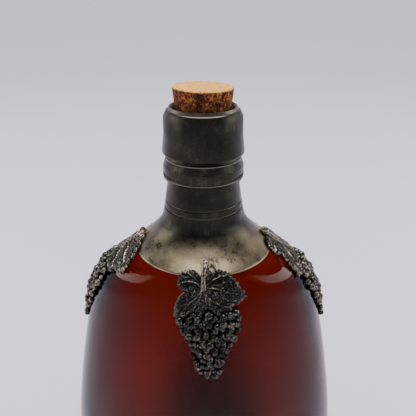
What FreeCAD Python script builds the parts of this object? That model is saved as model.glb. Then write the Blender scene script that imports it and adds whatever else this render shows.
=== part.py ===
"""Pewter-mounted glass bottle with a tapered cork, in millimetres, +Z up.

The origin is the middle of the base. The glass is an oval flask with a round neck. A spun pewter
sleeve, a ring and a mouth band are bedded on the neck in plaster, and four cast bunches of grapes
hang from the sleeve over the shoulders. The cork lifts out.
"""
import FreeCAD, Part
import math
import os
import Sketcher

doc = FreeCAD.newDocument("grooming_bottle")
sheet = doc.addObject("Spreadsheet::Sheet", "Sizes")

SIZES = {
    # heights above the table
    "band_foot": 205.0, "band_under": 204.4, "rim_top": 221.5, "lip_top": 220.0, "lip_gap": 0.1,
    "cork_top": 228.9, "ring_top": 202.8, "ring_body": 195.8, "ring_foot": 195.0,
    "bedding_foot": 182.0, "bedding_top": 219.0,
    "upper_line": 185.1, "lower_line": 182.4,
    # glass
    "neck_radius": 12.6, "neck_start": 181.0, "bore_radius": 10.6, "wall": 3.0, "side_wall": 4.5,
    "floor_thickness": 5.0,
    "shoulder_radius": 27.3, "throat_radius": 23.9, "throat_height": 163.6, "tool_reach": 2.0,
    "punt_radius": 19.0, "punt_top_radius": 9.5, "punt_height": 2.5,
    # pewter on the neck
    "sleeve_inside": 13.1, "sleeve_radius": 14.1, "sleeve_foot": 179.5, "upper_line_radius": 14.6,
    "lower_line_radius": 14.9, "line_cut_radius": 16.1, "line_half_width": 0.95,
    "band_top_radius": 15.0, "band_foot_radius": 15.4, "rim_inside": 12.2, "rim_round": 1.2,
    "waist_radius": 14.8, "bead_radius": 14.65, "ring_radius": 15.6, "ring_edge_radius": 15.1,
    "ring_belly": 1.6, "ring_top_radius": 15.25, "ring_round": 0.4,
    # cork
    "cork_length": 30.0, "cork_big": 11.6, "cork_small": 8.0, "cork_round": 0.45,
    # castings
    "casting_height": 51.0, "leaf_proud": 1.5, "bunch_proud": 2.4,
    "flat_top_out": 25.0, "flat_top_height": 169.6, "flat_foot_out": 32.0, "flat_foot_height": 119.0,
    "side_top_out": 22.6, "side_top_height": 169.4, "side_foot_out": 52.3, "side_foot_height": 130.6,
}

# Turned curves as (radius, height), each in the order of its profile: the glass shoulder that the
# skirt covers, the throat inside it, and the inner and outer faces of the skirt.
CURVES = {
    "shoulder": [(21.7, 168.8), (16.7, 173.0), (13.6, 177.2)],
    "throat": [(18.3, 167.6), (13.6, 171.8), (10.6, 176.6)],
    "skirt_inner": [(15.2, 177.2), (18.5, 173.2), (23.4, 169.2), (27.5, 165.0)],
    "skirt_outer": [(28.1, 165.5), (23.7, 170.1), (19.7, 173.2), (16.8, 176.0), (15.8, 179.5),
                    (15.15, 184.0)],
}

# Outlines of a casting seen flat, as (across, down) from the top of its stem. The leaf leans to one
# side; the bunch on the flat faces is fuller on that side, the one on the narrow sides is even.
LEAF_EDGE = [(-1.5, 0), (1.5, 0), (1.5, 4.6), (6.2, 2.6), (10.3, 5.0), (13.5, 9.0), (16.1, 13.1),
             (14.2, 15.6), (10.6, 19.9), (6.0, 22.0), (-7.0, 22.0), (-10.9, 21.8), (-9.4, 13.4),
             (-9.5, 8.8), (-8.7, 4.5), (-3.6, 2.6), (-1.5, 4.8)]
FLAT_BUNCH = [(13.2, 18), (14.3, 23), (14.1, 29.8), (11.5, 33), (10.3, 38.2), (8.3, 42.5), (7.0, 47.4),
              (4.8, 51), (1.4, 51), (-1.8, 47.4), (-3.6, 42.5), (-5.0, 38.2), (-5.9, 32.8),
              (-8.9, 29.7), (-9.8, 23), (-8.2, 18)]
SIDE_BUNCH = [(8.0, 18), (8.9, 23), (8.4, 29.4), (6.8, 35.4), (4.9, 41.5), (3.3, 46.2), (1.8, 49.6),
              (-1.8, 49.6), (-3.3, 46.2), (-4.9, 41.5), (-6.8, 35.4), (-8.4, 29.4), (-8.9, 23), (-8.0, 18)]

# The height of a casting as its outlines are drawn.
DRAWN_HEIGHT = 51.0

# How far below its tilted plane a casting's outline starts, deep enough to reach the surface.
PRISM_DEPTH = 14.0
PRISM_LENGTH = 40.0

# How far a layer rises for each millimetre that it stands out from the shoulder.
LAYER_RISE = 0.35

# Oval sections of the glass: height above the table, half width along X, half depth along Y.
STATIONS = [
    ("skirt_line", 164.6, 27.3, 27.3),
    ("shoulder_high", 161.0, 33.6, 28.1),
    ("shoulder_mid", 156.0, 39.6, 28.7),
    ("shoulder_low", 149.0, 44.7, 29.1),
    ("shoulder_end", 139.0, 48.9, 29.5),
    ("chest", 124.0, 52.7, 30.0),
    ("waist_high", 103.0, 56.8, 30.9),
    ("waist_low", 78.0, 60.6, 32.0),
    ("belly", 50.0, 62.9, 32.8),
    ("hip", 24.0, 63.2, 33.0),
    ("heel_high", 9.0, 61.5, 32.0),
    ("heel_low", 2.5, 58.3, 29.4),
    ("base", 0.0, 54.2, 26.0),
]


def fill_sheet():
    """Write every driving size into the sheet, one row each, with its alias."""
    rows = dict(SIZES)
    for name, height, half_width, half_depth in STATIONS:
        rows[name + "_height"] = height
        rows[name + "_width"] = half_width
        rows[name + "_depth"] = half_depth
    for name, points in CURVES.items():
        for number, (radius, height) in enumerate(points, start=1):
            rows[f"{name}_{number}_radius"] = radius
            rows[f"{name}_{number}_height"] = height
    for row, (alias, value) in enumerate(rows.items(), start=1):
        sheet.set(f"A{row}", alias)
        sheet.set(f"B{row}", str(value))
        sheet.setAlias(f"B{row}", alias)
    doc.recompute()


def size(alias):
    """The value of one cell of the sheet."""
    return float(sheet.get(alias))


def curve(name):
    """The sheet expressions of one turned curve, as (radius, height) pairs."""
    return [(f"Sizes.{name}_{number}_radius", f"Sizes.{name}_{number}_height")
            for number in range(1, len(CURVES[name]) + 1)]


def origin_plane(body, role):
    """One of the body's own origin planes."""
    return next(feature for feature in body.Origin.OriginFeatures if feature.Role == role)


def pin_point(sketch, line, expressions):
    """Hold the start of a sketch line at (radius, height), each given as a sheet expression."""
    for kind, axis, expression in zip(("DistanceX", "DistanceY"), (-2, -1), expressions):
        if expression == "0":
            sketch.addConstraint(Sketcher.Constraint("PointOnObject", line, 1, axis))
            continue
        point = sketch.getPoint(line, 1)
        value = point.x if kind == "DistanceX" else point.y
        index = sketch.addConstraint(Sketcher.Constraint(kind, -1, 1, line, 1, value))
        sketch.setExpression(f"Constraints[{index}]", expression)


def evaluate(expression):
    """The number that a sheet expression stands for, to draw the sketch close to its final shape."""
    total = 0.0
    for term in expression.replace(" ", "").replace("-", "+-").split("+"):
        if not term:
            continue
        sign = -1.0 if term.startswith("-") else 1.0
        word = term.lstrip("-")
        total += sign * (size(word[len("Sizes."):]) if word.startswith("Sizes.") else float(word))
    return total


def profile(body, name, corners):
    """A closed sketch in the XZ plane through corners given as (radius, height) expressions."""
    sketch = body.newObject("Sketcher::SketchObject", name)
    sketch.AttachmentSupport = [(origin_plane(body, "XZ_Plane"), "")]
    sketch.MapMode = "FlatFace"
    places = [FreeCAD.Vector(evaluate(radius), evaluate(height), 0) for radius, height in corners]
    count = len(places)
    for index in range(count):
        sketch.addGeometry(Part.LineSegment(places[index], places[(index + 1) % count]), False)
    for index in range(count):
        sketch.addConstraint(Sketcher.Constraint("Coincident", index, 2, (index + 1) % count, 1))
    for index, expressions in enumerate(corners):
        pin_point(sketch, index, expressions)
    return sketch


def turned(label, corners):
    """A body turned about Z from a closed profile."""
    body = doc.addObject("PartDesign::Body", label)
    body.Label = label
    sketch = profile(body, label + "_profile", corners)
    turn = body.newObject("PartDesign::Revolution", label + "_turned")
    turn.Profile = sketch
    turn.ReferenceAxis = (sketch, ["V_Axis"])
    turn.Angle = 360.0
    doc.recompute()
    return body


def round_edges(body, name, places, radius):
    """Fillet the round edges of a body that lie at the given (radius, height) places."""
    base = body.Tip
    edges = []
    for number, edge in enumerate(base.Shape.Edges, start=1):
        if not isinstance(edge.Curve, Part.Circle):
            continue
        place = (edge.Curve.Radius, edge.Curve.Center.z)
        if any(math.dist(place, wanted) < 0.05 for wanted in places):
            edges.append(f"Edge{number}")
    fillet = body.newObject("PartDesign::Fillet", name)
    fillet.Base = (base, edges)
    fillet.Radius = radius
    doc.recompute()


def oval(name, height, half_width, half_depth):
    """A horizontal ellipse whose sizes are sheet expressions."""
    ellipse = doc.addObject("Part::Ellipse", name)
    ellipse.setExpression("MajorRadius", half_width)
    ellipse.setExpression("MinorRadius", half_depth)
    ellipse.setExpression("Placement.Base.z", height)
    return ellipse


def oval_loft(name, insets, first, last, low_height=None):
    """A smooth solid through the stations, drawn in by two expressions, across and in depth."""
    across, deep = insets
    sections = []
    for station in STATIONS[first:last]:
        key = "Sizes." + station[0]
        height = f"{key}_height"
        if station is STATIONS[last - 1] and low_height:
            height = low_height
        sections.append(oval(f"{name}_{station[0]}", height, f"{key}_width - {across}",
                             f"{key}_depth - {deep}"))
    loft = doc.addObject("Part::Loft", name)
    loft.Sections = sections
    loft.Solid = True
    loft.Ruled = False
    return loft


def fused(name, shapes):
    joined = doc.addObject("Part::MultiFuse", name)
    joined.Shapes = shapes
    return joined


def cut(name, base, tool):
    result = doc.addObject("Part::Cut", name)
    result.Base = base
    result.Tool = tool
    return result


def glass_bottle():
    """The flask: a turned neck and shoulder on an oval body, hollow, with a punt under the base."""
    neck_outside = turned("neck_outside", [
        ("0", "Sizes.skirt_line_height"),
        ("Sizes.shoulder_radius", "Sizes.skirt_line_height"),
        *curve("shoulder"),
        ("Sizes.neck_radius", "Sizes.neck_start"),
        ("Sizes.neck_radius", "Sizes.lip_top"),
        ("0", "Sizes.lip_top"),
    ])
    neck_inside = turned("neck_inside", [
        ("0", "Sizes.throat_height"),
        ("Sizes.throat_radius", "Sizes.throat_height"),
        *curve("throat"),
        ("Sizes.bore_radius", "Sizes.lip_top + Sizes.tool_reach"),
        ("0", "Sizes.lip_top + Sizes.tool_reach"),
    ])
    body_outside = oval_loft("body_outside", ("0", "0"), 0, len(STATIONS))
    body_inside = oval_loft("body_inside", ("Sizes.side_wall", "Sizes.wall"), 1, len(STATIONS) - 1,
                            "Sizes.floor_thickness")
    throat = oval("throat", "Sizes.throat_height", "Sizes.throat_radius", "Sizes.throat_radius")
    body_inside.Sections = [throat] + body_inside.Sections
    punt = doc.addObject("Part::Cone", "punt")
    punt.setExpression("Radius1", "Sizes.punt_radius")
    punt.setExpression("Radius2", "Sizes.punt_top_radius")
    punt.setExpression("Height", "Sizes.punt_height")
    doc.recompute()
    outside = fused("glass_outside", [neck_outside, body_outside])
    inside = fused("glass_inside", [neck_inside, body_inside, punt])
    bottle = cut("glass_bottle", outside, inside)
    doc.recompute()
    return bottle


def neck_sleeve():
    """Spun pewter sleeve: a slim tube that flares into the shoulder skirt, with two cut lines."""
    body = turned("neck_sleeve", [
        ("Sizes.sleeve_inside", "Sizes.ring_top"),
        ("Sizes.sleeve_inside", "Sizes.sleeve_foot"),
        *curve("skirt_inner"),
        *curve("skirt_outer"),
        ("Sizes.sleeve_radius", "Sizes.ring_foot"),
        ("Sizes.sleeve_radius", "Sizes.ring_top"),
    ])
    for name in ("upper_line", "lower_line"):
        line = profile(body, name + "_profile", [
            (f"Sizes.{name}_radius", f"Sizes.{name}"),
            ("Sizes.line_cut_radius", f"Sizes.{name} - Sizes.line_half_width"),
            ("Sizes.line_cut_radius", f"Sizes.{name} + Sizes.line_half_width"),
        ])
        groove = body.newObject("PartDesign::Groove", name)
        groove.Profile = line
        groove.ReferenceAxis = (line, ["V_Axis"])
        groove.Angle = 360.0
        doc.recompute()
    return body


def collar_ring():
    """The round ring soldered on below the mouth band, with a narrow bead under it."""
    body = turned("collar_ring", [
        ("Sizes.sleeve_radius", "Sizes.ring_foot"),
        ("Sizes.bead_radius", "Sizes.ring_foot"),
        ("Sizes.bead_radius", "Sizes.ring_body"),
        ("Sizes.ring_edge_radius", "Sizes.ring_body"),
        ("Sizes.ring_radius", "Sizes.ring_body + Sizes.ring_belly"),
        ("Sizes.ring_top_radius", "Sizes.ring_top - Sizes.ring_belly"),
        ("Sizes.waist_radius", "Sizes.ring_top"),
        ("Sizes.sleeve_radius", "Sizes.ring_top"),
    ])
    round_edges(body, "collar_ring_edges", [(size("ring_edge_radius"), size("ring_body"))],
                size("ring_round"))
    return body


def mouth_band():
    """The mouth band, with its rim turned in over the glass lip."""
    body = turned("mouth_band", [
        ("Sizes.sleeve_inside", "Sizes.ring_top"),
        ("Sizes.waist_radius", "Sizes.ring_top"),
        ("Sizes.waist_radius", "Sizes.band_under"),
        ("Sizes.band_foot_radius", "Sizes.band_foot"),
        ("Sizes.band_top_radius", "Sizes.rim_top"),
        ("Sizes.rim_inside", "Sizes.rim_top"),
        ("Sizes.rim_inside", "Sizes.lip_top + Sizes.lip_gap"),
        ("Sizes.sleeve_inside", "Sizes.lip_top + Sizes.lip_gap"),
    ])
    round_edges(body, "mouth_band_rim", [(size("band_top_radius"), size("rim_top"))], size("rim_round"))
    return body


def plaster_bedding():
    """The thin plaster layer that holds the pewter on the glass neck."""
    outer = doc.addObject("Part::Cylinder", "bedding_outside")
    outer.setExpression("Radius", "Sizes.sleeve_inside")
    inner = doc.addObject("Part::Cylinder", "bedding_inside")
    inner.setExpression("Radius", "Sizes.neck_radius")
    for cylinder in (outer, inner):
        cylinder.setExpression("Height", "Sizes.bedding_top - Sizes.bedding_foot")
        cylinder.setExpression("Placement.Base.z", "Sizes.bedding_foot")
    bedding = cut("plaster_bedding", outer, inner)
    doc.recompute()
    return bedding


def cork_stopper():
    """The tapered cork, wide end up."""
    cone = doc.addObject("Part::Cone", "cork_cone")
    cone.setExpression("Radius1", "Sizes.cork_small")
    cone.setExpression("Radius2", "Sizes.cork_big")
    cone.setExpression("Height", "Sizes.cork_length")
    cone.setExpression("Placement.Base.z", "Sizes.cork_top - Sizes.cork_length")
    doc.recompute()
    cork = doc.addObject("Part::Fillet", "cork_stopper")
    cork.Base = cone
    rounding = size("cork_round")
    cork.Edges = [(number, rounding, rounding) for number, edge in enumerate(cone.Shape.Edges, start=1)
                  if isinstance(edge.Curve, Part.Circle)]
    doc.recompute()
    return cork


def layer(proud):
    """A closed solid that stands the given height proud of the skirt and the glass."""
    rings = [(size("neck_start"), size("bead_radius"), size("bead_radius")),
             (size("skirt_outer_3_height"), size("skirt_outer_3_radius"), size("skirt_outer_3_radius"))]
    rings += [(size(key + "_height"), size(key + "_width"), size(key + "_depth"))
              for key, *_ in STATIONS[1:9]]
    wires = []
    for height, width, depth in rings:
        centre = FreeCAD.Vector(0, 0, height + proud * LAYER_RISE)
        # a round ring has its depth cut by a hair, as an ellipse needs its first radius larger
        depth = min(depth, width - 0.001)
        wires.append(Part.Wire([Part.Ellipse(centre, width + proud, depth + proud).toShape()]))
    return Part.makeLoft(wires, True, False)


def pressed(outline, proud, place):
    """The outline pushed through the layer that stands proud of the surface, from a tilted plane."""
    scale = size("casting_height") / DRAWN_HEIGHT
    corners = [FreeCAD.Vector(across * scale, -down * scale, 0) for across, down in outline]
    face = Part.Face(Part.makePolygon(corners + corners[:1]))
    prism = face.extrude(FreeCAD.Vector(0, 0, PRISM_LENGTH))
    prism.Placement = place
    return prism.common(layer(proud))


def grape_casting(label, kind, bunch_edge, turn, glass, sleeve):
    """A cast leaf and bunch bent over the shoulder, its top and foot given by the sheet."""
    out, height = size(kind + "_top_out"), size(kind + "_top_height")
    drop = height - size(kind + "_foot_height")
    fall = math.degrees(math.atan2(drop, size(kind + "_foot_out") - out))
    tilt = FreeCAD.Rotation(FreeCAD.Vector(1, 0, 0), fall)
    start = FreeCAD.Vector(0, -out, height) + tilt.multVec(FreeCAD.Vector(0, 0, -PRISM_DEPTH))
    spin = FreeCAD.Placement(FreeCAD.Vector(), FreeCAD.Rotation(FreeCAD.Vector(0, 0, 1), turn))
    place = spin.multiply(FreeCAD.Placement(start, tilt))
    leaf = pressed(LEAF_EDGE, size("leaf_proud"), place)
    bunch = pressed(bunch_edge, size("bunch_proud"), place)
    shape = leaf.fuse(bunch).cut([glass.Shape, sleeve.Shape]).removeSplitter()
    casting = doc.addObject("Part::Feature", label)
    casting.Label = label
    casting.Shape = max(shape.Solids, key=lambda solid: solid.Volume)
    return casting


def all_castings(sleeve):
    """Two castings on the flat faces and two, set steeper out, on the narrow sides."""
    glass = doc.getObject("glass_outside")
    plan = [("front_grape_casting", "flat", FLAT_BUNCH, 0), ("back_grape_casting", "flat", FLAT_BUNCH, 180),
            ("right_grape_casting", "side", SIDE_BUNCH, 90), ("left_grape_casting", "side", SIDE_BUNCH, 270)]
    return [grape_casting(*row, glass, sleeve) for row in plan]


def check(pieces):
    """Stop if any object failed or any piece is not one closed, valid solid."""
    for item in doc.Objects:
        if "Invalid" in item.State or "Error" in item.State:
            raise RuntimeError(f"{item.Name} failed: {item.State}")
    for piece in pieces:
        shape = piece.Shape
        if shape.isNull() or not shape.isValid() or len(shape.Solids) != 1:
            raise RuntimeError(f"{piece.Label}: not one valid solid ({len(shape.Solids)})")


def export(pieces):
    """Write one STEP file for each piece."""
    os.makedirs("parts", exist_ok=True)
    for piece in pieces:
        piece.Shape.exportStep(os.path.join("parts", piece.Label + ".step"))
        box = piece.Shape.optimalBoundingBox()
        print(f"{piece.Label}: {piece.Shape.Volume / 1000:.2f} cm3, "
              f"x {box.XMin:.1f}..{box.XMax:.1f}, y {box.YMin:.1f}..{box.YMax:.1f}, "
              f"z {box.ZMin:.1f}..{box.ZMax:.1f}")


fill_sheet()
sleeve = neck_sleeve()
pieces = [glass_bottle(), plaster_bedding(), sleeve, collar_ring(), mouth_band(), cork_stopper()]
pieces += all_castings(sleeve)
doc.recompute()
check(pieces)
export(pieces)
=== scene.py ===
import math
import random

import bmesh
import bpy
from mathutils import Matrix, Vector, noise
from mathutils.bvhtree import BVHTree


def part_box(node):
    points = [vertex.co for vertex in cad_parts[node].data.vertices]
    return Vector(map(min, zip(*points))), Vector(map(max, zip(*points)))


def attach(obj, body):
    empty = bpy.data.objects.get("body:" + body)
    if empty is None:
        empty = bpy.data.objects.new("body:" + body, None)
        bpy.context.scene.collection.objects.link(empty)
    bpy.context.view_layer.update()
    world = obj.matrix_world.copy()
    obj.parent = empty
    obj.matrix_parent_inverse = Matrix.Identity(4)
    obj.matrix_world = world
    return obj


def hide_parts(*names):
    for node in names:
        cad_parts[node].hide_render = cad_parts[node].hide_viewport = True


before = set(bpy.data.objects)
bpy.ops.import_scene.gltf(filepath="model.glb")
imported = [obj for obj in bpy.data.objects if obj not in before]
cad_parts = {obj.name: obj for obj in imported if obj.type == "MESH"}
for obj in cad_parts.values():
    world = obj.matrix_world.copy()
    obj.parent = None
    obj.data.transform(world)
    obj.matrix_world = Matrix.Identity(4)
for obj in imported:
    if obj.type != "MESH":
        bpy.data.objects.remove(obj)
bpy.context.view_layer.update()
mm = 0.001
up = Vector((0, 0, 1))


def heightsOf(node):
    low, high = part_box(node)
    return low.z / mm, high.z / mm


ringFoot, ringTop = heightsOf("collar_ring")
skirtEdge = heightsOf("neck_sleeve")[0]
lipTop = heightsOf("glass_bottle")[1]
rimTop = heightsOf("mouth_band")[1]
corkFoot, corkTop = heightsOf("cork_stopper")
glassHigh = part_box("glass_bottle")[1]
halfWide, halfDeep = glassHigh.x / mm, glassHigh.y / mm
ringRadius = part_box("collar_ring")[1].x / mm
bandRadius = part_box("mouth_band")[1].x / mm
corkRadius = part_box("cork_stopper")[1].x / mm


def fromHex(code):
    # sRGB hex to linear RGBA
    values = [int(code[i:i + 2], 16) / 255 for i in (1, 3, 5)]
    return [c / 12.92 if c <= 0.04045 else ((c + 0.055) / 1.055) ** 2.4 for c in values] + [1.0]


def addNode(tree, kind, inputs=None, **settings):
    node = tree.nodes.new(kind)
    for key, value in settings.items():
        setattr(node, key, value)
    for socket, value in (inputs or {}).items():
        if isinstance(value, bpy.types.NodeSocket):
            tree.links.new(value, node.inputs[socket])
        else:
            node.inputs[socket].default_value = value
    return node


def setRamp(node, stops):
    ramp = node.color_ramp
    while len(ramp.elements) < len(stops):
        ramp.elements.new(0.5)
    for element, (place, code) in zip(ramp.elements, stops):
        element.position = place
        element.color = fromHex(code)
    return node


def newMaterial(name):
    material = bpy.data.materials.new(name)
    material.use_nodes = True
    tree = material.node_tree
    return material, tree, tree.nodes["Principled BSDF"], tree.nodes["Material Output"]


def smoothLine(points, steps):
    # a curve through all the points, with the given number of steps between two
    ends = [points[0], *points, points[-1]]
    line = []
    for i in range(1, len(ends) - 2):
        a, b, c, d = (Vector(p) for p in ends[i - 1:i + 3])
        for step in range(steps):
            t = step / steps
            line.append(0.5 * (2 * b + (c - a) * t + (2 * a - 5 * b + 4 * c - d) * t * t
                               + (3 * b - a - 3 * c + d) * t ** 3))
    line.append(Vector(points[-1]))
    return line


def roundedLine(corners, steps=6):
    # closed corners (radius, height, rounding) in mm, each rounding an arc
    line = []
    count = len(corners)
    for i, (r, z, rounding) in enumerate(corners):
        here = Vector((r, z))
        if not rounding:
            line.append(here)
            continue
        back = (Vector(corners[i - 1][:2]) - here).normalized()
        ahead = (Vector(corners[(i + 1) % count][:2]) - here).normalized()
        half = math.acos(max(-1, min(1, back.dot(ahead)))) / 2
        if half > 1.5:
            line.append(here)
            continue
        centre = here + (back + ahead).normalized() * (rounding / math.sin(half))
        start = here + back * (rounding / math.tan(half)) - centre
        end = here + ahead * (rounding / math.tan(half)) - centre
        for step in range(steps + 1):
            turned = start.slerp(end, step / steps) if start.angle(end) > 1e-4 else here - centre
            line.append(centre + turned)
    return line


def finishPiece(bm, name, material, body, sharpAngle=40, replaces=()):
    bmesh.ops.recalc_face_normals(bm, faces=bm.faces)
    mesh = bpy.data.meshes.new(name)
    bm.to_mesh(mesh)
    bm.free()
    mesh.polygons.foreach_set("use_smooth", [True] * len(mesh.polygons))
    mesh.set_sharp_from_angle(angle=math.radians(sharpAngle))
    mesh.materials.append(material)
    piece = bpy.data.objects.new(name, mesh)
    bpy.context.scene.collection.objects.link(piece)
    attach(piece, body)
    if replaces:
        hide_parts(*replaces)
    return piece


def spinProfile(line, segments):
    # a closed (radius, height) line in mm, turned about the bottle's axis
    bm = bmesh.new()
    corners = [bm.verts.new((p.x * mm, 0, p.y * mm)) for p in line]
    edges = [bm.edges.new((corners[i], corners[(i + 1) % len(corners)])) for i in range(len(corners))]
    bmesh.ops.spin(bm, geom=corners + edges, cent=(0, 0, 0), axis=(0, 0, 1), angle=2 * math.pi,
                   steps=segments, use_merge=True, use_duplicate=False)
    bmesh.ops.remove_doubles(bm, verts=bm.verts, dist=1e-6)
    return bm


def stackLoops(loops, segments):
    # oval loops (half width, half depth, height) in mm, each drawn out of the one before, ends closed
    bm = bmesh.new()
    wide, deep, height = loops[0]
    made = bmesh.ops.create_circle(bm, cap_ends=True, radius=1, segments=segments)
    bmesh.ops.scale(bm, vec=(wide * mm, deep * mm, 1), verts=made["verts"])
    bmesh.ops.translate(bm, vec=(0, 0, height * mm), verts=made["verts"])
    edges = list(bm.edges)
    for nextWide, nextDeep, nextHeight in loops[1:]:
        drawn = bmesh.ops.extrude_edge_only(bm, edges=edges)["geom"]
        verts = [g for g in drawn if isinstance(g, bmesh.types.BMVert)]
        edges = [g for g in drawn if isinstance(g, bmesh.types.BMEdge)]
        bmesh.ops.scale(bm, vec=(nextWide / wide, nextDeep / deep, 1), verts=verts)
        bmesh.ops.translate(bm, vec=(0, 0, (nextHeight - height) * mm), verts=verts)
        wide, deep, height = nextWide, nextDeep, nextHeight
    bmesh.ops.contextual_create(bm, geom=edges)
    return bm


# painted highlights: how bright the two cut lines and the edges at the ring's foot and top are painted,
# by height in mm
lineHalfWidth = 0.15
paintedHighlightLines = {skirtEdge + 20.2: 1.0, skirtEdge + 17.5: 1.0, ringFoot + 0.35: 0.35, ringTop - 0.4: 0.35}


def makeAmberGlass():
    # Soda-lime glass coloured with iron and sulphur, moulded and fire-polished: clear, deep red-brown
    # where it is thick, orange where light comes through, with a soft wave in its surface. The specular
    # tint holds its straight-on mirror below a clean pane's, so that the pale floor doesn't veil it.
    material, tree, shader, output = newMaterial("amberGlassMoulded")
    shader.inputs["Base Color"].default_value = fromHex("#fff0e0")
    shader.inputs["Roughness"].default_value = 0.0
    shader.inputs["IOR"].default_value = 1.52
    shader.inputs["Specular Tint"].default_value = fromHex("#565049")
    shader.inputs["Transmission Weight"].default_value = 1.0
    place = addNode(tree, "ShaderNodeTexCoord")
    wave = addNode(tree, "ShaderNodeTexNoise", {"Vector": place.outputs["Object"], "Scale": 38.0,
                                                "Detail": 1.0})
    bump = addNode(tree, "ShaderNodeBump", {"Height": wave.outputs["Fac"], "Strength": 0.25,
                                            "Distance": 0.0012})
    tree.links.new(bump.outputs["Normal"], shader.inputs["Normal"])
    volume = addNode(tree, "ShaderNodeVolumeAbsorption", {"Color": (0.77, 0.48, 0.08, 1.0),
                                                          "Density": 1500.0})
    tree.links.new(volume.outputs["Volume"], output.inputs["Volume"])
    return material


def makeSpunPewter():
    # Lead-free pewter spun on a lathe and left to tarnish: satin and olive-grey, with fine turning lines,
    # blotches and downward streaks. The upright faces are coloured almost black, tarnish deepened with
    # painted shade; the upward-facing skirt is coloured lighter, rubbed wear with a painted sheen from
    # the light above.
    # The two cut lines and the ring's edges get painted highlights, and the rim is coloured lighter at
    # its top.
    material, tree, shader, output = newMaterial("spunPewterTarnished")
    place = addNode(tree, "ShaderNodeTexCoord").outputs["Object"]
    height = addNode(tree, "ShaderNodeSeparateXYZ", {"Vector": place}).outputs["Z"]
    # the lower skirt, which faces up, takes the lighter colour (rubbed wear plus a painted sheen); the
    # upright faces keep the dark colour (tarnish plus painted shade)
    skirtSheenMask = addNode(tree, "ShaderNodeMapRange", {"Value": height, "From Min": (skirtEdge + 11) * mm,
                                                 "From Max": (skirtEdge + 4) * mm})
    blotch = addNode(tree, "ShaderNodeTexNoise", {"Vector": place, "Scale": 110.0, "Detail": 8.0,
                                                  "Roughness": 0.7}).outputs["Fac"]
    down = addNode(tree, "ShaderNodeMapping", {"Vector": place, "Scale": (520.0, 520.0, 42.0)})
    streak = addNode(tree, "ShaderNodeTexNoise", {"Vector": down.outputs["Vector"], "Scale": 1.0,
                                                  "Detail": 4.0}).outputs["Fac"]
    speck = addNode(tree, "ShaderNodeTexNoise", {"Vector": place, "Scale": 1300.0,
                                                 "Detail": 3.0}).outputs["Fac"]
    mottle = addNode(tree, "ShaderNodeMath", {0: speck, 1: 0.30, 2: blotch},
                     operation="MULTIPLY_ADD").outputs[0]
    run = addNode(tree, "ShaderNodeMath", {0: streak, 1: 0.25, 2: mottle},
                  operation="MULTIPLY_ADD").outputs[0]
    tarnishAndShade = setRamp(addNode(tree, "ShaderNodeValToRGB", {"Fac": run}),
                      [(0.58, "#20211d"), (0.84, "#2f2e28"), (1.0, "#48443a")])
    rubbedAndSheen = setRamp(addNode(tree, "ShaderNodeValToRGB", {"Fac": mottle}),
                     [(0.50, "#4d463b"), (0.60, "#80755f"), (0.84, "#978a6e")])
    tone = addNode(tree, "ShaderNodeMix", {0: skirtSheenMask.outputs["Result"], 6: tarnishAndShade.outputs["Color"],
                                           7: rubbedAndSheen.outputs["Color"]}, data_type="RGBA").outputs[2]
    # the rim's top is coloured lighter, and the cut lines and the ring's edges get painted highlights in
    # #a0988a where light catches them
    rimLighter = addNode(tree, "ShaderNodeMapRange", {"Value": height, "From Min": (rimTop - 1.3) * mm,
                                                   "From Max": (rimTop - 0.8) * mm, "To Max": 0.3})
    highlightsAndRim = rimLighter.outputs["Result"]
    for line, strength in paintedHighlightLines.items():
        gap = addNode(tree, "ShaderNodeMath", {0: height, 1: line * mm}, operation="SUBTRACT").outputs[0]
        near = addNode(tree, "ShaderNodeMath", {0: gap, 1: 0.0, 2: lineHalfWidth * mm},
                       operation="COMPARE").outputs[0]
        bright = addNode(tree, "ShaderNodeMath", {0: near, 1: strength}, operation="MULTIPLY").outputs[0]
        highlightsAndRim = addNode(tree, "ShaderNodeMath", {0: highlightsAndRim, 1: bright}, operation="MAXIMUM").outputs[0]
    tone = addNode(tree, "ShaderNodeMix", {0: highlightsAndRim, 6: tone, 7: fromHex("#a0988a")},
                   data_type="RGBA").outputs[2]
    tree.links.new(tone, shader.inputs["Base Color"])
    shader.inputs["Metallic"].default_value = 1.0
    # turning lines about 0.25 mm apart, drawn coarser than the real lathe marks so that they show
    squeezed = addNode(tree, "ShaderNodeMapping", {"Vector": place, "Scale": (40.0, 40.0, 4000.0)})
    rings = addNode(tree, "ShaderNodeTexNoise", {"Vector": squeezed.outputs["Vector"], "Scale": 1.0,
                                                 "Detail": 2.0}).outputs["Fac"]
    rough = addNode(tree, "ShaderNodeMapRange", {"Value": mottle, "From Min": 0.5, "From Max": 0.9,
                                                 "To Min": 0.30, "To Max": 0.48})
    tree.links.new(rough.outputs["Result"], shader.inputs["Roughness"])
    turned = addNode(tree, "ShaderNodeBump", {"Height": rings, "Strength": 0.12, "Distance": 0.00005})
    wave = addNode(tree, "ShaderNodeTexNoise", {"Vector": place, "Scale": 75.0,
                                                "Detail": 1.0}).outputs["Fac"]
    waved = addNode(tree, "ShaderNodeBump", {"Height": wave, "Strength": 0.5, "Distance": 0.0014,
                                             "Normal": turned.outputs["Normal"]})
    dents = addNode(tree, "ShaderNodeBump", {"Height": mottle, "Strength": 0.3, "Distance": 0.0002,
                                             "Normal": waved.outputs["Normal"]})
    tree.links.new(dents.outputs["Normal"], shader.inputs["Normal"])
    return material


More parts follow.
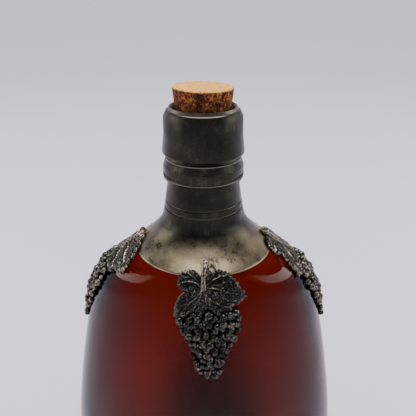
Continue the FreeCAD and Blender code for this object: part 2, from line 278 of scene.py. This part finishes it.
def makeCastPewter():
    # Cast pewter, blackened with acid and rubbed back: black in the recesses, warm grey on the crowns.
    material, tree, shader, output = newMaterial("castPewterBlackened")
    place = addNode(tree, "ShaderNodeTexCoord").outputs["Object"]
    rub = addNode(tree, "ShaderNodeAttribute", attribute_name="rub").outputs["Fac"]
    grain = addNode(tree, "ShaderNodeTexNoise", {"Vector": place, "Scale": 1400.0,
                                                 "Detail": 4.0}).outputs["Fac"]
    patchy = addNode(tree, "ShaderNodeMath", {0: grain, 1: 2.6, 2: -1.3},
                     operation="MULTIPLY_ADD").outputs[0]
    wear = addNode(tree, "ShaderNodeMath", {0: rub, 1: patchy}, operation="ADD").outputs[0]
    tone = setRamp(addNode(tree, "ShaderNodeValToRGB", {"Fac": wear}),
                   [(0.10, "#181918"), (0.50, "#4c4a43"), (1.0, "#ab9f88")])
    tree.links.new(tone.outputs["Color"], shader.inputs["Base Color"])
    shader.inputs["Metallic"].default_value = 1.0
    shader.inputs["Roughness"].default_value = 0.33
    bump = addNode(tree, "ShaderNodeBump", {"Height": grain, "Strength": 0.6, "Distance": 0.00025})
    tree.links.new(bump.outputs["Normal"], shader.inputs["Normal"])
    return material


def makeCork():
    # Natural cork bark, cut and ground to a taper: dry, tan, with reddish grain and dark pores. The
    # upward-facing top is coloured pale orange and the side dark brown: painted light from above and
    # painted shade on the side, over the real difference between the cut top and the ground bark side.
    material, tree, shader, output = newMaterial("naturalCorkGround")
    place = addNode(tree, "ShaderNodeTexCoord").outputs["Object"]
    grain = addNode(tree, "ShaderNodeTexNoise", {"Vector": place, "Scale": 1050.0, "Detail": 4.0,
                                                 "Roughness": 0.75}).outputs["Fac"]
    soft = addNode(tree, "ShaderNodeTexNoise", {"Vector": place, "Scale": 380.0,
                                                "Detail": 2.0}).outputs["Fac"]
    mixed = addNode(tree, "ShaderNodeMath", {0: soft, 1: 0.5, 2: grain},
                    operation="MULTIPLY_ADD").outputs[0]
    # lit and shaded copies of the cork colour, picked by which way the face points: painted light on the
    # top, painted shade on the side
    normal = addNode(tree, "ShaderNodeNewGeometry").outputs["True Normal"]
    facing = addNode(tree, "ShaderNodeSeparateXYZ", {"Vector": normal}).outputs["Z"]
    side = setRamp(addNode(tree, "ShaderNodeValToRGB", {"Fac": mixed}),
                   [(0.60, "#190b05"), (0.75, "#522910"), (0.89, "#a3632b")])
    top = setRamp(addNode(tree, "ShaderNodeValToRGB", {"Fac": mixed}),
                  [(0.58, "#c8762a"), (0.70, "#f2a850"), (0.86, "#fbc274")])
    topLitMask = addNode(tree, "ShaderNodeMapRange", {"Value": facing, "From Min": 0.4, "From Max": 0.9})
    tone = addNode(tree, "ShaderNodeMix", {0: topLitMask.outputs["Result"], 6: side.outputs["Color"],
                                           7: top.outputs["Color"]}, data_type="RGBA").outputs[2]
    tree.links.new(tone, shader.inputs["Base Color"])
    shader.inputs["Roughness"].default_value = 0.95
    shader.inputs["Specular IOR Level"].default_value = 0.25
    bump = addNode(tree, "ShaderNodeBump", {"Height": mixed, "Strength": 0.8, "Distance": 0.0005})
    tree.links.new(bump.outputs["Normal"], shader.inputs["Normal"])
    return material


def makePlaster():
    # Plaster of Paris, poured and dried: matt off-white with a fine grain.
    material, tree, shader, output = newMaterial("plasterPoured")
    place = addNode(tree, "ShaderNodeTexCoord").outputs["Object"]
    grain = addNode(tree, "ShaderNodeTexNoise", {"Vector": place, "Scale": 700.0, "Detail": 3.0})
    tone = setRamp(addNode(tree, "ShaderNodeValToRGB", {"Fac": grain.outputs["Fac"]}),
                   [(0.3, "#b8b2a4"), (0.7, "#d8d3c6")])
    tree.links.new(tone.outputs["Color"], shader.inputs["Base Color"])
    shader.inputs["Roughness"].default_value = 0.95
    return material


amberGlass = makeAmberGlass()
spunPewter = makeSpunPewter()
castPewter = makeCastPewter()
corkBark = makeCork()
plaster = makePlaster()
print("materials made")


glass = {
    "segments": 160,
    "wall": 3.0,
    "sideWall": 4.5,
    # thicker than the wall above: at random, all over, and low down in the middle, where the extra amber
    # stands in for the shadow behind the flask as painted shade
    "unevenness": 0.9,
    "extraWall": 0.3,
    "shadeThickening": 2.8,
    "thickAcross": (5.0, 21.0),
    "thickBelow": (140.0, 45.0),
    # the unevenness fades out above the first height and below the second, each over its own length
    "evenAbove": (160.0, 20.0),
    "evenBelow": (8.0, 10.0),
    "bore": 10.6,
    "neckRadius": 12.6,
    "floor": 5.5,
    "punt": 2.5,
    # share of the half width, share of the half depth, height in mm
    "body": [(0.30, 0.56, 0.4), (0.66, 0.60, 0.0), (0.857, 0.79, 0.0), (0.922, 0.891, 2.5),
             (0.973, 0.97, 9.0), (1.0, 1.0, 24.0), (0.995, 0.994, 50.0),
             (0.959, 0.97, 78.0), (0.899, 0.936, 103.0),
             (0.834, 0.909, 124.0), (0.774, 0.894, 139.0), (0.707, 0.882, 149.0), (0.627, 0.87, 156.0),
             (0.532, 0.852, 161.0), (0.432, 0.827, 164.6)],
    # radius and height of the round part above the skirt line
    "neck": [(21.7, 168.8), (16.7, 173.0), (13.6, 177.2), (12.6, 181.0), (12.6, 195.0)],
}


def glassLoops():
    body = [(wide * halfWide, deep * halfDeep, z) for wide, deep, z in glass["body"]]
    neck = [(r, r, z) for r, z in glass["neck"]]
    wall, lip, bore = glass["wall"], lipTop, glass["bore"]
    # the curve through the heel must not dip below the face that it stands on
    outside = [(p.x, p.y, max(0.0, p.z)) for p in smoothLine(body[1:] + neck, 6)]
    # the fire-polished lip, over its top and down into the bore
    rounding = [(glass["neckRadius"], -0.9), (glass["neckRadius"] - 0.2, -0.35),
                (glass["neckRadius"] - 0.6, 0.0), (bore + 0.6, 0.0), (bore + 0.15, -0.2), (bore, -0.8)]
    mouth = [(r, r, lip + fall) for r, fall in rounding]
    inBody = [(wide - glass["sideWall"], deep - wall, z) for wide, deep, z in body[4:]]
    inNeck = [(18.3, 18.3, 168.0), (13.7, 13.7, 172.0), (11.4, 11.4, 175.0), (bore, bore, 179.0),
              (bore, bore, 190.0)]
    inFloor = [(2.0, 1.0, glass["floor"] + 1.6), (22.0, 12.0, glass["floor"] + 1.0),
               (44.0, 21.0, glass["floor"]), (54.0, 27.0, glass["floor"] + 1.0)]
    inside = [tuple(p) for p in smoothLine(inFloor + inBody + inNeck, 6)]
    punt = [(0.5, 0.5, glass["punt"]), (10.0, 10.0, glass["punt"] * 0.85), (17.0, 15.0, 1.0),
            (22.0, 18.0, 0.15), (halfWide * 0.5, halfDeep * 0.66, 0.0)]
    return punt + outside + mouth + inside[::-1]


def makeBottle():
    loops = glassLoops()
    bm = stackLoops(loops, glass["segments"])
    bm.verts.ensure_lookup_table()
    # the inner face of a moulded flask is never even, so its glass is thicker in some places; the
    # thickening low down in the middle darkens the glass there, a painted shade for the shadow behind the
    # flask
    lip = max(range(len(loops)), key=lambda i: loops[i][2])
    (highest, fadeUp), (lowest, fadeDown) = glass["evenAbove"], glass["evenBelow"]
    (thickFrom, thickRun), (middleAt, middleWide) = glass["thickBelow"], glass["thickAcross"]
    for v in bm.verts[(lip + 4) * glass["segments"]:]:
        x, y, z = v.co / mm
        reach = math.hypot(x, y)
        fade = min(1.0, max(0.0, (highest - z) / fadeUp), max(0.0, (z - lowest) / fadeDown))
        push = noise.noise(Vector((x * 0.035, y * 0.05, z * 0.022))) * glass["unevenness"]
        low = min(1.0, max(0.0, (thickFrom - z) / thickRun))
        # painted shade: extra glass low in the middle, to darken it
        middle = math.exp(-((x - middleAt) / middleWide) ** 2)
        push -= glass["extraWall"] + glass["shadeThickening"] * low * middle
        push *= fade
        if reach > 5:
            v.co.xy *= (reach + push) / reach
    return finishPiece(bm, "glassBottle", amberGlass, "bottle", 60, ["glass_bottle"])


makeBottle()
print("glass bottle blown")


sleeve = {
    "inside": 13.1,
    "outside": 14.1,
    "segments": 192,
    # outside of the tube and the flare, radius and height above the skirt's edge
    "flare": [(28.1, 0.0), (27.9, 0.55), (26.4, 1.9), (23.3, 4.6), (20.2, 7.6), (18.1, 10.3),
              (16.9, 12.6), (16.2, 15.0)],
    "tube": [(15.6, 18.5), (15.1, 21.5), (14.5, 25.5), (14.15, 29.0), (14.1, 31.0)],
    "lines": [(20.1, 0.30), (17.4, 0.34)],
}


def makeSleeve():
    outside = smoothLine(sleeve["flare"] + sleeve["tube"], 8)
    for height, depth in sleeve["lines"]:
        outside = cutLine(outside, height, depth)
    outside = [Vector((p.x, p.y + skirtEdge)) for p in outside]
    top = [Vector((sleeve["outside"], ringTop)), Vector((sleeve["inside"], ringTop))]
    inner = [(sleeve["inside"], skirtEdge + 20), (14.6, skirtEdge + 14.5), (16.8, skirtEdge + 9.6),
             (20.0, skirtEdge + 5.9), (24.6, skirtEdge + 1.9), (27.4, skirtEdge + 0.0)]
    inside = smoothLine(inner, 6)
    bm = spinProfile(outside + top + inside, sleeve["segments"])
    return finishPiece(bm, "neckSleeve", spunPewter, "bottle", 28, ["neck_sleeve"])


def cutLine(line, height, depth):
    # a V cut at one height, about 0.5 mm wide
    half = 0.27
    kept = [p for p in line if abs(p.y - height) > half + 0.02]
    above = [p for p in line if p.y > height][0]
    radius = above.x
    cut = [Vector((radius + 0.03, height - half)), Vector((radius - depth, height)),
           Vector((radius - 0.01, height + half))]
    return sorted(kept + cut, key=lambda p: p.y)


ring = {"segments": 520, "teeth": 130, "toothHeight": 0.16, "toothBand": 1.3}


def makeRing():
    corners = [(14.1, ringFoot, 0), (14.7, ringFoot, 0.1), (14.95, ringFoot + 0.2, 0.1),
               (14.3, ringFoot + 0.8, 0), (ringRadius - 0.5, ringFoot + 0.95, 0.3),
               (ringRadius, ringFoot + 2.4, 0.8), (ringRadius - 0.1, ringFoot + 4.4, 0.8),
               (14.85, ringTop - 0.5, 0.9), (14.85, ringTop, 0), (14.1, ringTop, 0)]
    line = []
    for here, there in zip(roundedLine(corners), roundedLine(corners)[1:] + roundedLine(corners)[:1]):
        line.append(here)
        if (there - here).length > 0.8 and min(here.x, there.x) > 14.2:
            line.append((here + there) / 2)
    bm = spinProfile(line, ring["segments"])
    foot = (ringFoot + 0.75) * mm
    for v in bm.verts:
        share = (v.co.z - foot) / (ring["toothBand"] * mm)
        radius = math.hypot(v.co.x, v.co.y)
        if 0.02 < share < 1.0 and radius > 14.5 * mm:
            swell = math.cos(ring["teeth"] * math.atan2(v.co.y, v.co.x)) * ring["toothHeight"] * mm
            v.co.xy *= (radius + swell * math.sin(math.pi * share) - 0.1 * mm) / radius
    return finishPiece(bm, "collarRing", spunPewter, "bottle", 60, ["collar_ring"])


def makeBand():
    corners = [(13.1, ringTop, 0), (14.85, ringTop, 0), (14.85, ringTop + 1.4, 0.2),
               (bandRadius, ringTop + 2.1, 0.45), (15.22, ringTop + 9, 0), (15.05, rimTop - 3, 0),
               (14.95, rimTop, 1.7), (12.2, rimTop, 0.6), (12.2, lipTop + 0.1, 0.1),
               (13.1, lipTop + 0.1, 0)]
    bm = spinProfile(roundedLine(corners, 8), 192)
    return finishPiece(bm, "mouthBand", spunPewter, "bottle", 40, ["mouth_band"])


makeSleeve()
makeRing()
makeBand()
print("pewter mount spun")


cork = {
    "segments": 200,
    "rings": 60,
    "small": 8.0,
    "pores": 110,
    "grain": 0.10,
    # the top is cut a little out of square: its fall across the cork, in mm for each mm
    "slope": 0.022,
    # one deep pit in the bark: direction in degrees, distance below the top, width and depth in mm
    "pit": (-33, 2.6, 0.9, 1.1),
}


def makeCorkPiece():
    loops = [(0.3, 0.3, corkFoot), (cork["small"] * 0.6, cork["small"] * 0.6, corkFoot),
             (cork["small"] - 0.4, cork["small"] - 0.4, corkFoot)]
    for i in range(cork["rings"] + 1):
        t = i / cork["rings"]
        r = cork["small"] + (corkRadius - 0.15 - cork["small"]) * t
        loops.append((r, r, corkFoot + 0.4 + (corkTop - corkFoot - 0.8) * t))
    for share in (0.965, 0.9, 0.8, 0.68, 0.55, 0.42, 0.28, 0.15, 0.03):
        loops.append((corkRadius * share, corkRadius * share, corkTop - (0.12 if share > 0.96 else 0.05)))
    bm = stackLoops(loops, cork["segments"])
    chance = random.Random(7)
    middle = (corkFoot + corkTop) / 2
    pores = []
    for _ in range(cork["pores"]):
        angle = chance.uniform(0, 2 * math.pi)
        height = chance.uniform(corkFoot + 1, corkTop - 0.6)
        radius = cork["small"] + (corkRadius - cork["small"]) * (height - corkFoot) / (corkTop - corkFoot)
        spot = Vector((radius * math.cos(angle), radius * math.sin(angle), height))
        pores.append((spot, chance.uniform(0.3, 0.7), chance.uniform(0.15, 0.5)))
    direction, below, wide, deep = cork["pit"]
    spot = Vector((corkRadius - 0.3, 0, corkTop - below))
    spot.rotate(Matrix.Rotation(math.radians(direction), 3, "Z"))
    pores.append((spot, wide, deep))
    bm.normal_update()
    for v in bm.verts:
        p = v.co / mm
        push = noise.noise(p * 1.9) * cork["grain"] + noise.noise(p * 0.6) * 0.08
        for spot, size, depth in pores:
            gap = Vector((p.x - spot.x, p.y - spot.y, (p.z - spot.z) * 1.5)).length / size
            if gap < 1:
                push -= depth * (1 - gap * gap)
        inward = Vector((p.x, p.y, (p.z - middle) * 0.6)).normalized()
        flat = p.z > corkTop - 0.3 and p.xy.length < corkRadius * 0.95
        v.co += (up if flat else inward) * min(push, 0.04) * mm * (0.6 if flat else 1.0)
        v.co.z -= max(0.0, (p.z - lipTop) / (corkTop - lipTop)) * cork["slope"] * v.co.x
    return finishPiece(bm, "corkStopper", corkBark, "cork", 60, ["cork_stopper"])


makeCorkPiece()
print("cork cut")


casting = {
    # the run of each kind, from the top of the stem to the tip of the bunch, (out, height) in mm
    "flat": ((25.0, 169.6), (32.0, 119.0)),
    "side": ((22.6, 169.4), (52.3, 130.6)),
    "hub": (0.0, 8.8),
    # the ones on the shoulders' ends are coloured lighter all over, a painted sheen for their
    # upward-facing surfaces that catch the light above
    "paintedSheen": {"flat": 0.0, "side": 0.17},
    # the stem, from the hub up: (across, down, out) in mm
    "stem": [(0.1, 0.5, 1.3), (0.1, -2.0, 1.25), (0.2, -4.5, 1.0), (0.5, -7.0, 0.8), (1.0, -8.4, 0.7)],
    # the leaf's edge about its hub: direction in degrees, 90 towards the stem, then reach in mm
    "leafEdge": [(-180, 9.5), (-165, 7.6), (-154, 10.5), (-140, 14.3), (-130, 17.0), (-118, 14.9),
                 (-90, 13.0), (-65, 14.3), (-46, 15.2), (-37, 13.9), (-25, 15.7), (-15, 16.7),
                 (-1, 13.5), (20, 11.0), (45, 8.8), (60, 6.2), (76, 3.6), (100, 3.9), (120, 7.2),
                 (136, 8.6), (154, 9.7), (180, 9.5)],
    # veins: from the hub, each through (across, down) places in mm
    "veins": [[(-2.6, -1.9), (-5.6, -2.2), (-9.4, -1.0)], [(-2.4, -3.2), (-5.4, -5.2)],
              [(-2.0, 3.3), (-4.6, 5.8), (-8.8, 11.6)], [(-1.4, 4.4), (-3.4, 8.4), (-4.6, 12.4)],
              [(1.1, 5.0), (1.5, 12.0)], [(0.9, 2.4), (3.0, 5.0), (7.0, 7.4), (11.4, 8.8)],
              [(4.4, 0.2), (9.6, 2.2), (15.0, 3.8)], [(3.0, -2.6), (5.4, -3.6), (8.4, -5.4)]],
    "curlSteps": 25,
    "leafRings": 34,
    "leafSegments": 320,
    "teeth": 52,
    "grapeTop": 1.62,
    "grapeFoot": 1.36,
    "bunchTop": 20.0,
    "bunchFoot": 50.4,
    # bunch's left and right edge, across, at each share of its height
    "sideEdges": [(0.0, -8.0, 8.0), (0.15, -8.9, 8.9), (0.38, -8.2, 8.2), (0.58, -6.4, 6.4),
                  (0.76, -4.7, 4.7), (0.90, -3.2, 3.2), (1.0, -1.7, 1.7)],
    "flatEdges": [(0.0, -8.2, 13.4), (0.10, -9.8, 14.3), (0.32, -8.9, 14.0), (0.42, -6.2, 11.4),
                   (0.60, -4.9, 10.2), (0.74, -3.6, 8.2), (0.90, -1.8, 7.0), (1.0, 1.4, 4.8)],
}


def seatLoops():
    # the surface that a casting lies on: the sleeve's flare running into the glass, a little proud
    rows = [sleeve["tube"][0], *sleeve["flare"][::-1][:-2]]
    flare = [(r + 0.15, r + 0.15, skirtEdge + z) for r, z in rows]
    body = [(wide * halfWide + proud, deep * halfDeep + proud, z) for (wide, deep, z), proud in
            zip(glass["body"][5:-1], [0.1] * 5 + [0.2, 0.35, 0.6, 0.8])]
    return [tuple(p) for p in smoothLine(body + flare[::-1], 6)]


seatMesh = stackLoops(seatLoops(), 128)
bmesh.ops.recalc_face_normals(seatMesh, faces=seatMesh.faces)
seat = BVHTree.FromBMesh(seatMesh)
seatMesh.free()


class Bed:
    # lays flat (across, down, out) points in mm on the shoulder
    def __init__(self, kind, turn):
        self.kind = kind
        (topOut, topHeight), (footOut, footHeight) = casting[kind]
        fall = math.atan2(topHeight - footHeight, footOut - topOut)
        spin = Matrix.Rotation(math.radians(turn), 3, "Z")
        self.start = spin @ Vector((0, -topOut, topHeight))
        self.right = spin @ Vector((1, 0, 0))
        self.down = spin @ Vector((0, -math.cos(fall), -math.sin(fall)))
        self.out = spin @ Vector((0, -math.sin(fall), math.cos(fall)))

    def seatAt(self, across, down):
        above = self.start + self.right * across + self.down * down + self.out * 25
        hit, normal, _, _ = seat.ray_cast(above * mm, -self.out, 0.06)
        if hit is None:
            return (above - self.out * 25) * mm, self.out
        return hit, (normal + self.out * 0.7).normalized()

    def place(self, across, down, out):
        hit, normal = self.seatAt(across, down)
        return hit + normal * out * mm, normal


def leafReach(angle):
    # how far the leaf's edge is from its hub in one direction, with its teeth
    rows = casting["leafEdge"]
    for (a0, r0), (a1, r1) in zip(rows, rows[1:]):
        if angle <= a1:
            t = (angle - a0) / (a1 - a0)
            t = t * t * (3 - 2 * t) * 0.5 + t * 0.5
            reach = r0 + (r1 - r0) * t
            break
    tooth = (angle * casting["teeth"] / 360) % 1
    return reach * (0.95 + 0.08 * tooth)


def gapToVein(across, down, vein):
    # nearest distance to one vein and how far along it, as a share
    best, share, count = 99.0, 0.0, len(vein) - 1
    place = Vector((across, down))
    for i in range(count):
        start, end = vein[i], vein[i + 1]
        run = end - start
        t = max(0.0, min(1.0, (place - start).dot(run) / run.length_squared))
        gap = (start + run * t - place).length
        if gap < best:
            best, share = gap, (i + t) / count
    return best, share


def leafVein(across, down):
    # height of the veins and of the swellings between them, at a place measured from the hub
    main, near, along = 0.0, 99.0, 0.0
    for vein in veinLines:
        gap, share = gapToVein(across, down, vein)
        main = max(main, math.exp(-(gap / (0.34 - 0.18 * share)) ** 2))
        if gap < near:
            near, along = gap, share * (vein[-1] - vein[0]).length
    side = abs(math.sin(math.pi * (along - 0.9 * near) / 1.7))
    branch = (1 - side) ** 3 * min(1, near / 0.5)
    puff = min(1, near / 1.3) * (0.55 + 0.45 * side)
    return main, puff, branch


veinLines = [smoothLine([(0, 0), *vein], 6) for vein in casting["veins"]]


def addPlate(bm, rub, bed, centre, reachOf, reliefOf, rings, segments):
    # a thin closed plate about a centre: out over its face, down its edge and back underneath
    shares = [0.02] + [(i + 1) / rings for i in range(rings)]
    faceLoops = [(share, True) for share in shares] + [(0.985, False), (0.5, False), (0.03, False)]
    made = bmesh.ops.create_circle(bm, cap_ends=True, radius=1, segments=segments)
    ringVerts = made["verts"]
    angles = [math.degrees(math.atan2(v.co.y, v.co.x)) for v in ringVerts]
    edges = list({e for v in ringVerts for e in v.link_edges})
    for number, (share, isFace) in enumerate(faceLoops):
        if number:
            drawn = bmesh.ops.extrude_edge_only(bm, edges=edges)["geom"]
            verts = [g for g in drawn if isinstance(g, bmesh.types.BMVert)]
            edges = [g for g in drawn if isinstance(g, bmesh.types.BMEdge)]
            follows = {}
            for v in verts:
                old = [e.other_vert(v) for e in v.link_edges if e.other_vert(v) not in verts][0]
                follows[old] = v
            ringVerts = [follows[v] for v in ringVerts]
        for v, angle in zip(ringVerts, angles):
            reach = reachOf(angle) * share
            across = reach * math.cos(math.radians(angle))
            down = -reach * math.sin(math.radians(angle))
            height, shine = reliefOf(across, down, share) if isFace else (0.0, 0.0)
            v.co, _ = bed.place(centre[0] + across, centre[1] + down, height)
            v[rub] = shine
    bmesh.ops.contextual_create(bm, geom=edges)


def leafRelief(across, down, share):
    main, puff, branch = leafVein(across, down)
    edge = max(0.0, (share - 0.88) / 0.12)
    height = 0.85 + 0.5 * puff + 0.75 * main + 0.12 * branch - 0.4 * edge * edge
    height += 0.9 * noise.noise(Vector((across * 0.28, down * 0.28, 3.0))) * share
    shine = max(0.5 * main, 0.12 * puff, 0.34 * branch)
    return height, 0.02 + shine + 0.25 * edge


def bunchEdge(kind, share):
    rows = casting[kind + "Edges"]
    for (s0, l0, r0), (s1, l1, r1) in zip(rows, rows[1:]):
        if share <= s1:
            t = (share - s0) / (s1 - s0)
            return l0 + (l1 - l0) * t, r0 + (r1 - r0) * t
    return rows[-1][1:]


def addGrapes(bm, rub, bed, chance):
    # rows of grapes down the bunch, then a second layer standing on its middle
    top, foot = casting["bunchTop"], casting["bunchFoot"]
    for layer, (inset, lift) in enumerate([(0.0, 0.5), (2.6, 1.4)]):
        down = top + layer * 1.4
        while down < foot - layer * 5 + 0.1:
            share = (down - top) / (foot - top)
            radius = casting["grapeTop"] + (casting["grapeFoot"] - casting["grapeTop"]) * share
            left, right = bunchEdge(bed.kind, min(1, share))
            left, right = left + radius * 0.75 + inset, right - radius * 0.75 - inset
            count = max(1, round((right - left) / (radius * 1.85)) + 1) if right > left else 0
            for i in range(count):
                t = i / (count - 1) if count > 1 else 0.5
                across = left + (right - left) * t + chance.uniform(-0.6, 0.6)
                size = radius * chance.uniform(0.78, 1.18)
                stand = lift + 0.5 * (1 - (2 * t - 1) ** 2) + chance.uniform(-0.4, 0.4)
                shine = chance.uniform(0.14, 0.4)
                addGrape(bm, rub, bed, (across, down + chance.uniform(-0.7, 0.7), stand), size, shine)
            down += radius * 1.8


def addGrape(bm, rub, bed, spot, size, shine):
    centre, normal = bed.place(*spot)
    made = bmesh.ops.create_icosphere(bm, subdivisions=2, radius=size * mm,
                                      matrix=Matrix.Translation(centre))
    for v in made["verts"]:
        facing = (v.co - centre).normalized().dot(normal)
        v[rub] = shine if facing > 0.1 else 0.04


def addTube(bm, rub, bed, points, radii, sides=10, shine=0.7):
    # a round rod through flat points, its size changing along it
    path = [bed.place(*p)[0] for p in points]
    edges, last = [], None
    for i, spot in enumerate(path):
        ahead = path[min(i + 1, len(path) - 1)] - path[max(i - 1, 0)]
        turn = ahead.to_track_quat("Z", "X").to_matrix().to_4x4()
        matrix = Matrix.Translation(spot) @ turn @ Matrix.Scale(radii[i] * mm, 4)
        if last is None:
            made = bmesh.ops.create_circle(bm, cap_ends=True, radius=1, segments=sides, matrix=matrix)
            verts = made["verts"]
            edges = list({e for v in verts for e in v.link_edges})
        else:
            drawn = bmesh.ops.extrude_edge_only(bm, edges=edges)["geom"]
            verts = [g for g in drawn if isinstance(g, bmesh.types.BMVert)]
            edges = [g for g in drawn if isinstance(g, bmesh.types.BMEdge)]
            bmesh.ops.transform(bm, matrix=matrix @ last.inverted(), verts=verts)
        for v in verts:
            v[rub] = shine
        last = matrix
    bmesh.ops.contextual_create(bm, geom=edges)


def makeCasting(name, node, kind, turn, seed):
    bed = Bed(kind, turn)
    chance = random.Random(seed)
    bm = bmesh.new()
    rub = bm.verts.layers.float.new("rub")
    hub = casting["hub"]
    addPlate(bm, rub, bed, hub, leafReach, leafRelief, casting["leafRings"], casting["leafSegments"])
    middle = (2.2 if kind == "flat" else 0.0, (casting["bunchTop"] + casting["bunchFoot"]) / 2 - 3)

    def bunchReach(angle):
        turnTo = math.radians(angle)
        reach = 1.0
        while reach < 26:
            across, down = middle[0] + reach * math.cos(turnTo), middle[1] - reach * math.sin(turnTo)
            share = (down - casting["bunchTop"]) / (casting["bunchFoot"] - casting["bunchTop"])
            left, right = bunchEdge(kind, min(1, max(0, share)))
            if share < 0 or share > 1 or across < left + 0.8 or across > right - 0.8:
                break
            reach += 0.25
        return reach

    addPlate(bm, rub, bed, middle, bunchReach, lambda across, down, share: (0.5, 0.0), 5, 72)
    addGrapes(bm, rub, bed, chance)
    stem = [(hub[0] + x, hub[1] + y, lift) for x, y, lift in casting["stem"]]
    stem = [tuple(p) for p in smoothLine(stem, 4)]
    last = len(stem) - 1
    addTube(bm, rub, bed, stem, [0.85 + 0.25 * abs(2 * i / last - 1) for i in range(last + 1)])
    # the tendril winds in on itself beside the stem
    curl, steps = [], casting["curlSteps"]
    for i in range(steps + 1):
        turnTo = math.pi * (0.9 + 2.6 * i / steps)
        reach = 2.0 - 1.2 * i / steps
        curl.append((hub[0] + 3.0 + reach * math.cos(turnTo),
                     hub[1] - 6.6 - reach * 0.8 * math.sin(turnTo), 0.7))
    addTube(bm, rub, bed, curl, [0.5 - 0.2 * i / steps for i in range(steps + 1)], 8)
    # painted sheen: the castings on the shoulders' ends are lightened all over
    for v in bm.verts:
        v[rub] += casting["paintedSheen"][kind]
    return finishPiece(bm, name, castPewter, "bottle", 75, [node])


makeCasting("frontGrapeCasting", "front_grape_casting", "flat", 0, 11)
makeCasting("backGrapeCasting", "back_grape_casting", "flat", 180, 12)
makeCasting("rightGrapeCasting", "right_grape_casting", "side", 90, 13)
makeCasting("leftGrapeCasting", "left_grape_casting", "side", 270, 14)
print("castings set")


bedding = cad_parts["plaster_bedding"]
bedding.data.materials.clear()
bedding.data.materials.append(plaster)


studio = {
    # the flat floor's radius and the radius of its turned-up edge, in metres
    "floorRadius": 1.4,
    "sweepRadius": 1.6,
    "sweepSteps": 12,
    "sweepAngle": 78,
    "paper": "#e4dfec",
    "world": "#dcd8ea",
    "worldStrength": 0.14,
    "topSize": (2.4, 2.4),
    "topBack": 0.1,
    "topHeight": 2.6,
    "topPower": 115.0,
    # a long softbox on each side: distance out, back and up in metres
    "sidePlace": (0.95, 0.0, 0.42),
    "sideSize": (0.9, 0.22),
    "sidePower": 3.6,
}


def makeStage():
    # a round floor of pale paper that turns up all round, so that no edge shows
    bm = bmesh.new()
    radius, bend = studio["floorRadius"], studio["sweepRadius"]
    bmesh.ops.create_circle(bm, cap_ends=True, radius=radius, segments=96)
    edges, reach, height = list(bm.edges), radius, 0.0
    for step in range(1, studio["sweepSteps"] + 1):
        turn = math.radians(studio["sweepAngle"] * step / studio["sweepSteps"])
        nextReach, nextHeight = radius + bend * math.sin(turn), bend * (1 - math.cos(turn))
        drawn = bmesh.ops.extrude_edge_only(bm, edges=edges)["geom"]
        verts = [g for g in drawn if isinstance(g, bmesh.types.BMVert)]
        edges = [g for g in drawn if isinstance(g, bmesh.types.BMEdge)]
        bmesh.ops.scale(bm, vec=(nextReach / reach, nextReach / reach, 1), verts=verts)
        bmesh.ops.translate(bm, vec=(0, 0, nextHeight - height), verts=verts)
        reach, height = nextReach, nextHeight
    material, tree, shader, output = newMaterial("paperSweep")
    shader.inputs["Base Color"].default_value = fromHex(studio["paper"])
    shader.inputs["Roughness"].default_value = 0.9
    stageObject(bm, "paperFloor", material)


def stageObject(bm, name, material):
    mesh = bpy.data.meshes.new(name)
    bm.to_mesh(mesh)
    bm.free()
    mesh.polygons.foreach_set("use_smooth", [True] * len(mesh.polygons))
    mesh.materials.append(material)
    item = bpy.data.objects.new(name, mesh)
    bpy.context.scene.collection.objects.link(item)


def addSoftbox(name, size, power, spot):
    # a plain rectangular softbox that faces the bottle
    data = bpy.data.lights.new(name, "AREA")
    data.shape = "RECTANGLE"
    data.size, data.size_y = size
    data.energy = power
    light = bpy.data.objects.new(name, data)
    light.location = spot
    light.rotation_euler = (Vector((0, 0, 0.1)) - Vector(spot)).to_track_quat("-Z", "Y").to_euler()
    light.visible_camera = False
    bpy.context.scene.collection.objects.link(light)


def makeLights():
    above = (0, studio["topBack"], studio["topHeight"])
    addSoftbox("ceilingSoftbox", studio["topSize"], studio["topPower"], above)
    for side, name in ((-1, "leftSoftbox"), (1, "rightSoftbox")):
        out, back, high = studio["sidePlace"]
        addSoftbox(name, studio["sideSize"], studio["sidePower"], (out * side, back, high))
    world = bpy.data.worlds.new("studioAir")
    world.use_nodes = True
    world.node_tree.nodes["Background"].inputs["Color"].default_value = fromHex(studio["world"])
    world.node_tree.nodes["Background"].inputs["Strength"].default_value = studio["worldStrength"]
    bpy.context.scene.world = world


view = {"place": (0.0018, -0.1775, 0.2607), "downward": 24.42, "lens": 41.5}


def makeCamera():
    data = bpy.data.cameras.new("camera")
    data.sensor_width = 36.0
    data.lens = view["lens"]
    camera = bpy.data.objects.new("camera", data)
    camera.location = view["place"]
    camera.rotation_euler = (math.radians(90 - view["downward"]), 0, 0)
    bpy.context.scene.collection.objects.link(camera)
    bpy.context.scene.camera = camera


makeStage()
makeLights()
makeCamera()
print("studio lit")
